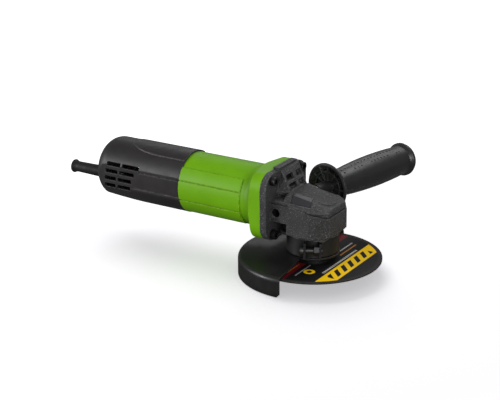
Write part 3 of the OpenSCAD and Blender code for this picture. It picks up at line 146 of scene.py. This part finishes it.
def startMaterial(name):
    material = bpy.data.materials.new(name)
    material.use_nodes = True
    tree = material.node_tree
    return material, tree, tree.nodes["Principled BSDF"]


def objectPlace(tree):
    return put(tree, "TexCoord").outputs["Object"]


# what a finish uses where it gives no value of its own; lengths in metres
plainFinish = {
    "vary": 0.1,  # share by which cloudy patches leave the colour
    "cloud": 60,
    "grain": 1800,
    "smudge": 120,
    # noise scale of the patches that break up the painted edge highlight
    "highlightPatches": 300,
    "shadeReach": 0.006,  # reach of the painted shade in hollows
    "shade": 0.85,
    "edge": 0.0005,  # rounding that light sees on edges
    "bump": 0.0,
    "bumpDepth": 0.0001,
    "metal": 0.0,
    "gloss": 0.5,
}
# which part of a mask's range counts, from none to full
noiseMiddle = (0.3, 0.7)
speckRange = (0.58, 0.7)
highlightPatchRange = (0.35, 0.65)
paintedShadeRange = (0.95, 0.35)
paintedShadeShare = 0.12  # share of the colour that is left where the painted shade is full
edgeRange = (1.0, 0.8)


def edgeMask(tree, radius):
    # rounded normal, and 0 on flat faces and towards 1 on edges
    soft = put(tree, "Bevel", {"Radius": radius}, samples=4).outputs[0]
    hard = put(tree, "NewGeometry").outputs["Normal"]
    likeness = put(tree, "VectorMath", {0: soft, 1: hard}, operation="DOT_PRODUCT").outputs["Value"]
    return soft, spread(tree, likeness, *edgeRange)


def scaled(color, share):
    return tuple(part * share for part in color)


def finishColor(tree, place, look, grain, edge):
    color = look["color"]
    patches = spread(tree, noise(tree, place, look["cloud"], layers=3), *noiseMiddle)
    paint = blendColor(tree, patches, scaled(color, 1 - look["vary"]), scaled(color, 1 + look["vary"]))
    if "speck" in look:
        paint = blendColor(tree, spread(tree, grain, *speckRange), paint, look["speck"])
    # painted shade: the colour darkens in hollows that the occlusion node finds
    openness = put(tree, "AmbientOcclusion", {"Distance": look["shadeReach"]}, samples=6).outputs["AO"]
    paintedShade = spread(tree, openness, *paintedShadeRange, 0, look["shade"])
    paint = blendColor(tree, paintedShade, paint, scaled(color, paintedShadeShare))
    # painted highlight: a lighter colour along edges, broken into patches by noise
    if "edgeHighlight" in look:
        highlightPatches = spread(tree, noise(tree, place, look["highlightPatches"]), *highlightPatchRange, 0, look["edgeHighlightShare"])
        paint = blendColor(tree, times(tree, edge, highlightPatches), paint, look["edgeHighlight"])
    return paint


def makeFinish(name, values):
    look = {**plainFinish, **values}
    material, tree, shader = startMaterial(name)
    place = objectPlace(tree)
    grain = noise(tree, place, look["grain"], layers=3, rough=0.6)
    soft, edge = edgeMask(tree, look["edge"])
    smudge = noise(tree, place, look["smudge"])
    surface = soft
    if look["bump"]:
        surface = put(tree, "Bump", {"Strength": look["bump"], "Distance": look["bumpDepth"],
                                     "Height": grain, "Normal": soft}).outputs[0]
    fill(tree, shader.inputs["Base Color"], finishColor(tree, place, look, grain, edge))
    fill(tree, shader.inputs["Roughness"], spread(tree, smudge, *noiseMiddle, *look["rough"]))
    fill(tree, shader.inputs["Normal"], surface)
    shader.inputs["Metallic"].default_value = look["metal"]
    shader.inputs["Specular IOR Level"].default_value = look["gloss"]
    return material


finishes = {
    "greenShell": dict(color=(0.158, 0.41, 0.002), vary=0.05, grain=2600, bump=0.25, bumpDepth=0.00006,
                       rough=(0.42, 0.52), gloss=0.3, shade=0.55,
                       edge=0.0013, edgeHighlight=(0.34, 0.64, 0.02), edgeHighlightShare=1.0),
    "blackShell": dict(color=(0.020, 0.0175, 0.018), grain=2600, bump=0.35, bumpDepth=0.00008,
                       rough=(0.42, 0.52), gloss=0.45,
                       edge=0.0011, edgeHighlight=(0.14, 0.13, 0.13), edgeHighlightShare=0.9),
    "castHead": dict(color=(0.036, 0.036, 0.037), vary=0.3, grain=820, bump=1.0, bumpDepth=0.0018,
                     rough=(0.3, 0.42), shadeReach=0.009, shade=0.95, speck=(0.28, 0.28, 0.29),
                     edge=0.001, edgeHighlight=(0.25, 0.25, 0.255), edgeHighlightShare=1.0),
    "guardPaint": dict(color=(0.009, 0.009, 0.009), vary=0.12, grain=1100, bump=0.15, rough=(0.34, 0.44),
                       edge=0.0006, edgeHighlight=(0.09, 0.09, 0.09), edgeHighlightShare=0.5),
    "clampPaint": dict(color=(0.011, 0.011, 0.011), vary=0.12, grain=1100, bump=0.2, rough=(0.42, 0.52),
                       gloss=0.35, edge=0.0006, edgeHighlight=(0.12, 0.12, 0.12), edgeHighlightShare=0.7),
    "gripPlastic": dict(color=(0.017, 0.017, 0.0175), vary=0.08, grain=2400, bump=0.35, bumpDepth=0.00008,
                        rough=(0.3, 0.4), shadeReach=0.003, edgeHighlight=(0.16, 0.16, 0.16), edgeHighlightShare=0.9),
    "lockPlastic": dict(color=(0.026, 0.026, 0.031), vary=0.05, grain=3000, bump=0.08, rough=(0.4, 0.5)),
    "darkZinc": dict(color=(0.07, 0.07, 0.072), vary=0.12, grain=1200, bump=0.1, rough=(0.32, 0.45),
                     metal=0.85, edge=0.0003),
    "zincSteel": dict(color=(0.62, 0.62, 0.63), vary=0.06, grain=1200, bump=0.06, rough=(0.22, 0.34),
                      metal=1.0, edge=0.0003),
    "blackSteel": dict(color=(0.05, 0.05, 0.052), vary=0.12, grain=1200, bump=0.1, rough=(0.32, 0.45),
                       metal=0.9, edge=0.0003, edgeHighlight=(0.3, 0.3, 0.3), edgeHighlightShare=0.6),
    "turnedSteel": dict(color=(0.42, 0.42, 0.43), vary=0.05, grain=900, bump=0.08, rough=(0.25, 0.38),
                        metal=1.0, edge=0.0003),
    "copperWire": dict(color=(0.48, 0.15, 0.05), vary=0.15, grain=900, bump=0.5, rough=(0.3, 0.4),
                       metal=0.9),
    "brassSheet": dict(color=(0.62, 0.42, 0.12), vary=0.08, grain=900, bump=0.05, rough=(0.28, 0.36),
                       metal=1.0),
    "bronzeBush": dict(color=(0.42, 0.24, 0.08), grain=1500, bump=0.2, rough=(0.4, 0.5), metal=1.0),
    "lamination": dict(color=(0.22, 0.22, 0.23), grain=1200, bump=0.2, rough=(0.4, 0.5), metal=0.9),
    "softRubber": dict(color=(0.010, 0.010, 0.010), vary=0.08, bump=0.25, rough=(0.55, 0.7), gloss=0.3),
    "carbonBlock": dict(color=(0.02, 0.02, 0.022), grain=1500, bump=0.3, rough=(0.45, 0.55)),
    "whiteNylon": dict(color=(0.62, 0.62, 0.58), vary=0.03, grain=1600, bump=0.1, rough=(0.4, 0.5),
                       edge=0.0004),
    "innerPlastic": dict(color=(0.04, 0.04, 0.042), vary=0.06, bump=0.2, rough=(0.45, 0.55)),
    "capacitorCase": dict(color=(0.55, 0.38, 0.06), vary=0.05, grain=1500, bump=0.1, rough=(0.3, 0.4)),
}

# the CAD nodes that carry each finish
wornBy = {
    "greenShell": ["motor_housing"],
    "blackShell": ["rear_housing", "slide_button", "cable_clamp"],
    "castHead": ["gear_housing", "spindle_cover"],
    "guardPaint": ["wheel_guard"],
    "clampPaint": ["guard_clamp"],
    "gripPlastic": ["side_handle"],
    "lockPlastic": ["lock_button"],
    "darkZinc": ["clamp_screw", "clamp_nut"],
    "zincSteel": ["clamp_plate_screws", "rear_screws", "retainer_screws", "pinion_nut",
                  "spindle_bearing_outer", "spindle_bearing_inner",
                  "front_bearing_outer", "front_bearing_inner",
                  "rear_bearing_outer", "rear_bearing_inner", "brush_springs", "lock_spring"],
    "blackSteel": ["head_screws", "cover_screws", "inner_flange", "lock_nut"],
    "turnedSteel": ["spindle", "armature_shaft", "crown_gear", "pinion", "handle_stud", "bearing_retainer"],
    "copperWire": ["armature_windings", "field_coils", "commutator"],
    "brassSheet": ["brush_holders"],
    "bronzeBush": ["spindle_bush"],
    "lamination": ["armature_core", "stator_core"],
    "softRubber": ["spindle_seal", "bearing_sleeve", "cable_boot"],
    "carbonBlock": ["carbon_brushes"],
    "whiteNylon": ["cooling_fan"],
    "innerPlastic": ["air_baffle", "switch_rod", "switch_module"],
    "capacitorCase": ["capacitor"],
}


def dress(nodeName, material):
    slots = nodes[nodeName].data.materials
    slots.clear()
    slots.append(material)


made = {}
for finishName, values in finishes.items():
    made[finishName] = makeFinish(finishName, values)
    for nodeName in wornBy[finishName]:
        dress(nodeName, made[finishName])
print("finishes on the CAD pieces")


# cutting disc: woven resin with a printed ring of paper on its upper face; pairs are from and to, in metres
discLook = {
    "ring": (0.0125, 0.0585),
    "paperDepth": (0.0003, 0.0002),  # the print fades out this far under the face
    "resin": (0.018, 0.017, 0.016),
    "grit": (0.075, 0.07, 0.065),
    "gritScale": 2400,
    "gritRange": (0.5, 0.72),
    "glass": (0.05, 0.048, 0.045),
    "glassBeat": 1250,
    "glassRange": (0.9, 1.0),
    "glassShare": 0.35,
    "ink": (0.0045, 0.0045, 0.005),
    "yellow": (1.0, 0.62, 0.0),
    "red": (0.15, 0.004, 0.010),
    "white": (0.6, 0.6, 0.58),
    "orange": (0.62, 0.26, 0.05),
    "yellowBand": (0.0305, 0.0455),
    "redBand": (-0.006, 0.0045),
    "hatch": (0.0335, 0.0425),
    "hatchHalf": 0.036,
    "hatchBeat": 520,  # beats are in radians per metre
    "resinRough": 0.7,
    "paperRough": 0.55,
    "paperSmooth": 0.8,
    "bump": 0.5,
    "bumpDepth": 0.0001,
    "gloss": 0.18,
}
# thin printed dashes: from and to across, from and to along, dashes per metre, ink
discDashes = [
    (0.0262, 0.0285, -0.030, 0.032, 330, "white"),
    (0.0085, 0.0098, -0.047, -0.020, 700, "white"),
    (-0.0012, 0.0004, -0.050, -0.024, 620, "orange"),
    (0.0150, 0.0165, 0.016, 0.046, 520, "white"),
    (0.0200, 0.0215, 0.013, 0.044, 430, "orange"),
]
discDot = {"spot": (0.0155, -0.0335, 0.0), "rim": (0.0024, 0.0052)}
dashEdge = (-0.5, -0.3)
hatchEdge = (-0.05, 0.05)


def stripe(tree, value, low, high, soft=0.0002):
    rise = spread(tree, value, low - soft, low + soft)
    fall = spread(tree, value, high + soft, high - soft)
    return times(tree, rise, fall)


def resinColor(tree, x, y, grit):
    threads = [calc(tree, "ABSOLUTE", wave(tree, axis, discLook["glassBeat"])) for axis in (x, y)]
    crossed = calc(tree, "MAXIMUM", *threads)
    weave = spread(tree, crossed, *discLook["glassRange"], 0, discLook["glassShare"])
    gritty = spread(tree, grit, *discLook["gritRange"])
    resin = blendColor(tree, gritty, discLook["resin"], discLook["grit"])
    return blendColor(tree, weave, resin, discLook["glass"])


def printColor(tree, x, y, flat):
    bars = spread(tree, wave(tree, calc(tree, "ADD", x, y), discLook["hatchBeat"]), *hatchEdge)
    along = stripe(tree, y, -discLook["hatchHalf"], discLook["hatchHalf"])
    hatch = times(tree, bars, times(tree, stripe(tree, x, *discLook["hatch"]), along))
    yellowBand = stripe(tree, x, *discLook["yellowBand"])
    printed = blendColor(tree, yellowBand, discLook["ink"], discLook["yellow"])
    printed = blendColor(tree, hatch, printed, discLook["ink"])
    printed = blendColor(tree, stripe(tree, x, *discLook["redBand"]), printed, discLook["red"])
    for left, right, near, far, pitch, ink in discDashes:
        line = times(tree, stripe(tree, x, left, right), stripe(tree, y, near, far))
        dash = spread(tree, wave(tree, y, pitch * 2 * math.pi), *dashEdge)
        printed = blendColor(tree, times(tree, line, dash), printed, discLook[ink])
    away = put(tree, "VectorMath", {0: flat, 1: discDot["spot"]}, operation="DISTANCE").outputs["Value"]
    return blendColor(tree, stripe(tree, away, *discDot["rim"]), printed, discLook["yellow"])


def makeDiscFace():
    material, tree, shader = startMaterial("discFace")
    place = objectPlace(tree)
    x, y, z = put(tree, "SeparateXYZ", {0: place}).outputs
    flat = put(tree, "CombineXYZ", {0: x, 1: y, 2: 0.0}).outputs[0]
    radius = put(tree, "VectorMath", {0: flat}, operation="LENGTH").outputs["Value"]
    top = max(corner.co.z for corner in nodes["cutting_disc"].data.vertices)
    upper = spread(tree, z, *[top - depth for depth in discLook["paperDepth"]])
    paper = times(tree, stripe(tree, radius, *discLook["ring"]), upper)
    grit = noise(tree, place, discLook["gritScale"], rough=0.7)
    face = blendColor(tree, paper, resinColor(tree, x, y, grit), printColor(tree, x, y, flat))
    height = times(tree, grit, spread(tree, paper, 0, 1, 1, 1 - discLook["paperSmooth"]))
    bump = {"Strength": discLook["bump"], "Distance": discLook["bumpDepth"], "Height": height}
    fill(tree, shader.inputs["Base Color"], face)
    fill(tree, shader.inputs["Roughness"],
         spread(tree, paper, 0, 1, discLook["resinRough"], discLook["paperRough"]))
    fill(tree, shader.inputs["Normal"], put(tree, "Bump", bump).outputs[0])
    shader.inputs["Specular IOR Level"].default_value = discLook["gloss"]
    return material


dress("cutting_disc", makeDiscFace())
print("disc face printed")


# lock spring: a merged copy that rides with the housing
lockSpring = {
    "seat": 0.00042,
    "travel": 0.0032,
    "weld": 0.000002,
}


def addLockSpring():
    source = nodes["lock_spring"]
    spring = source.copy()
    spring.data = source.data.copy()
    spring.name = "springCoil"
    bpy.context.scene.collection.objects.link(spring)
    bpy.ops.object.select_all(action="DESELECT")
    spring.select_set(True)
    bpy.context.view_layer.objects.active = spring
    bpy.ops.object.mode_set(mode="EDIT")
    bpy.ops.mesh.select_all(action="SELECT")
    bpy.ops.mesh.remove_doubles(threshold=lockSpring["weld"])
    bpy.ops.object.mode_set(mode="OBJECT")
    bpy.ops.object.transform_apply(location=True, rotation=True, scale=True)
    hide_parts("lock_spring")
    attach(spring, "housing")
    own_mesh(spring)


addLockSpring()
print("lock spring")


# raised arrow in the cast cap of the head: an arc of a ring with a three-sided point; angles in degrees
arrow = {
    "middle": (0.0126, -0.0010, 0.00695),
    "slope": 13.5,
    "radius": 0.0082,
    "bead": 0.0009,
    "from": -105,
    "to": 25,
    "steps": 72,
    "beadSteps": 12,
    "point": 0.0026,
    "pointTop": 0.00182,
    "pointHeight": 0.0018,
}


def keepSide(degrees, side):
    angle = math.radians(degrees)
    bpy.ops.mesh.select_all(action="SELECT")
    bpy.ops.mesh.bisect(plane_co=(0, 0, 0), plane_no=(-math.sin(angle) * side, math.cos(angle) * side, 0),
                        use_fill=True, clear_inner=True)


def addArrowArc():
    bpy.ops.object.select_all(action="DESELECT")
    bpy.ops.mesh.primitive_torus_add(major_radius=arrow["radius"], minor_radius=arrow["bead"],
                                     major_segments=arrow["steps"], minor_segments=arrow["beadSteps"])
    bpy.ops.object.mode_set(mode="EDIT")
    keepSide(arrow["from"], 1)
    keepSide(arrow["to"], -1)
    bpy.ops.object.mode_set(mode="OBJECT")
    return bpy.context.active_object


def addArrowPoint():
    end = math.radians(arrow["to"])
    spot = (arrow["radius"] * math.cos(end), arrow["radius"] * math.sin(end), 0)
    bpy.ops.mesh.primitive_cone_add(vertices=3, radius1=arrow["point"], radius2=arrow["pointTop"],
                                    depth=arrow["pointHeight"], location=spot, rotation=(0, 0, end))
    return bpy.context.active_object


def addArrow():
    arc = addArrowArc()
    point = addArrowPoint()
    bpy.ops.object.select_all(action="DESELECT")
    point.select_set(True)
    arc.select_set(True)
    bpy.context.view_layer.objects.active = arc
    bpy.ops.object.join()
    arc.name = "rotationArrow"
    arc.rotation_euler = (0, math.radians(arrow["slope"]), 0)
    arc.location = arrow["middle"]
    bpy.ops.object.transform_apply(location=True, rotation=True, scale=True)
    bpy.ops.object.shade_smooth_by_angle(angle=smoothAngle)
    arc.data.materials.append(made["castHead"])
    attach(arc, "housing")


addArrow()
print("rotation arrow")


# leads: four from the cable clamp to the switch, and a black one that leaves it towards the brushes
leadLook = {
    "radius": 0.0014,
    "roundness": 3,
    "vary": 0.05,
    "rough": (0.4, 0.5),
}
leads = {
    "brown": {"color": (0.09, 0.03, 0.012),
              "path": [(-0.2045, 0.0018, -0.0030), (-0.1990, -0.0040, 0.0040), (-0.1920, 0.0005, 0.0050),
                       (-0.1860, 0.0060, 0.0045), (-0.1782, 0.0070, 0.0030)]},
    "blue": {"color": (0.012, 0.05, 0.20),
             "path": [(-0.2045, -0.0018, -0.0030), (-0.1985, -0.0055, 0.0000), (-0.1915, -0.0010, 0.0010),
                      (-0.1855, 0.0040, 0.0005), (-0.1782, 0.0060, -0.0010)]},
    "red": {"color": (0.20, 0.012, 0.010),
            "path": [(-0.2045, 0.0000, -0.0010), (-0.1990, 0.0005, 0.0056), (-0.1930, 0.0000, 0.0056),
                     (-0.1850, 0.0000, 0.0034), (-0.1782, 0.0000, 0.0036)]},
    "white": {"color": (0.22, 0.22, 0.21),
              "path": [(-0.2045, 0.0010, -0.0045), (-0.1980, 0.0000, -0.0034), (-0.1920, 0.0000, -0.0030),
                       (-0.1860, 0.0000, -0.0026), (-0.1782, 0.0020, -0.0030)]},
    "black": {"color": (0.012, 0.012, 0.012),
              "path": [(-0.1782, 0.0045, -0.0045), (-0.1860, 0.0020, -0.0040), (-0.1930, 0.0015, -0.0020),
                       (-0.1900, -0.0080, -0.0040), (-0.1780, -0.0100, -0.0080)]},
}


def addLead(name):
    bpy.ops.object.select_all(action="DESELECT")
    bpy.ops.curve.primitive_nurbs_path_add()
    curve = bpy.context.active_object.data
    for point, spot in zip(curve.splines[0].points, leads[name]["path"]):
        point.co = (*spot, 1)
    curve.bevel_depth = leadLook["radius"]
    curve.bevel_resolution = leadLook["roundness"]
    curve.use_fill_caps = True
    bpy.ops.object.convert(target="MESH")
    lead = bpy.context.active_object
    lead.name = name + "Lead"
    bpy.ops.object.shade_smooth_by_angle(angle=smoothAngle)
    lead.data.materials.clear()
    sleeve = dict(color=leads[name]["color"], vary=leadLook["vary"], rough=leadLook["rough"])
    lead.data.materials.append(makeFinish(name + "Sleeve", sleeve))
    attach(lead, "housing")


for leadName in leads:
    addLead(leadName)
print("inner leads")


# studio: white paper under the tool, an even sky and five soft boxes
studio = {
    "floorGap": 0.0005,
    "floorSize": 12,
    "floorSeen": (2.3, 2.26, 2.32),
    "floorBounce": (0.5, 0.5, 0.5),
    "floorGlow": 0.47,
    "glowColor": (0.98, 0.98, 1.0, 1.0),
    "farFrom": (0.26, 0.9),
    "world": 0.12,
    "worldGlossy": 0.22,
}
lamps = {
    "topBox": {"spot": (0.2, 0.5, 0.9), "aim": (-0.02, 0, 0), "size": (0.7, 0.6), "watts": 4.2},
    "shadowBox": {"spot": (-0.95, 0.68, 1.1), "aim": (-0.05, 0, 0), "size": (1.5, 1.1), "watts": 6.9},
    "backStrip": {"spot": (-0.4, 1.1, 0.7), "aim": (-0.05, 0, 0), "size": (1.4, 0.3), "watts": 2.4},
    "leftBox": {"spot": (-1.3, -1.0, 0.38), "aim": (-0.05, 0, 0), "size": (0.6, 0.6), "watts": 16},
    "rightBox": {"spot": (0.9, -0.85, 0.33), "aim": (0, 0, 0), "size": (0.5, 0.5), "watts": 10.5},
}


def makePaper():
    material, tree, shader = startMaterial("floorPaper")
    seen = put(tree, "LightPath").outputs["Is Camera Ray"]
    # the paper stays white far from the lamps
    away = put(tree, "VectorMath", {0: objectPlace(tree)}, operation="LENGTH").outputs["Value"]
    glow = spread(tree, away, *studio["farFrom"], studio["floorGlow"], 1.0)
    paper = blendColor(tree, seen, studio["floorBounce"], studio["floorSeen"])
    fill(tree, shader.inputs["Base Color"], paper)
    fill(tree, shader.inputs["Emission Strength"], times(tree, seen, glow))
    shader.inputs["Emission Color"].default_value = studio["glowColor"]
    shader.inputs["Roughness"].default_value = 1.0
    shader.inputs["Specular IOR Level"].default_value = 0.0
    return material


def addFloor():
    height = cadBox[0][2] - studio["floorGap"]
    bpy.ops.object.select_all(action="DESELECT")
    bpy.ops.mesh.primitive_plane_add(size=studio["floorSize"], location=(0, 0, height))
    floor = bpy.context.active_object
    floor.name = "studioFloor"
    bpy.ops.object.transform_apply(location=True, rotation=True, scale=True)
    floor.data.materials.append(makePaper())
    return floor


def addWorld():
    world = bpy.data.worlds.new("studioWorld")
    bpy.context.scene.world = world
    world.use_nodes = True
    tree = world.node_tree
    back = tree.nodes["Background"]
    path = put(tree, "LightPath")
    level = spread(tree, path.outputs["Is Glossy Ray"], 0, 1, studio["world"], studio["worldGlossy"])
    fill(tree, back.inputs["Strength"], calc(tree, "MAXIMUM", level, path.outputs["Is Camera Ray"]))
    back.inputs["Color"].default_value = (1, 1, 1, 1)


def linkTo(name, items, state):
    chosen = bpy.data.collections.new(name)
    for item in items:
        chosen.objects.link(item)
    for link in chosen.collection_objects:
        link.light_linking.link_state = state
    return chosen


def addLamp(name, lamp, receivers, blockers):
    data = bpy.data.lights.new(name, "AREA")
    data.shape = "RECTANGLE"
    data.size, data.size_y = lamp["size"]
    data.energy = lamp["watts"]
    item = bpy.data.objects.new(name, data)
    item.location = lamp["spot"]
    item.rotation_euler = (Vector(lamp["spot"]) - Vector(lamp["aim"])).to_track_quat("Z", "Y").to_euler()
    item.light_linking.receiver_collection = receivers
    item.light_linking.blocker_collection = blockers
    bpy.context.scene.collection.objects.link(item)


def addLamps(floor):
    # shadowBox lights the paper alone, past the handle, and the others leave the paper out
    sparedPaper = linkTo("sparedPaper", [floor], "EXCLUDE")
    onlyPaper = linkTo("onlyPaper", [floor], "INCLUDE")
    handleLets = linkTo("handleLets", [nodes["side_handle"], nodes["handle_stud"]], "EXCLUDE")
    for name, lamp in lamps.items():
        if name == "shadowBox":
            addLamp(name, lamp, onlyPaper, handleLets)
        else:
            addLamp(name, lamp, sparedPaper, None)


studioFloor = addFloor()
addWorld()
addLamps(studioFloor)
bpy.context.scene.view_settings.view_transform = "Standard"
print("studio ready")
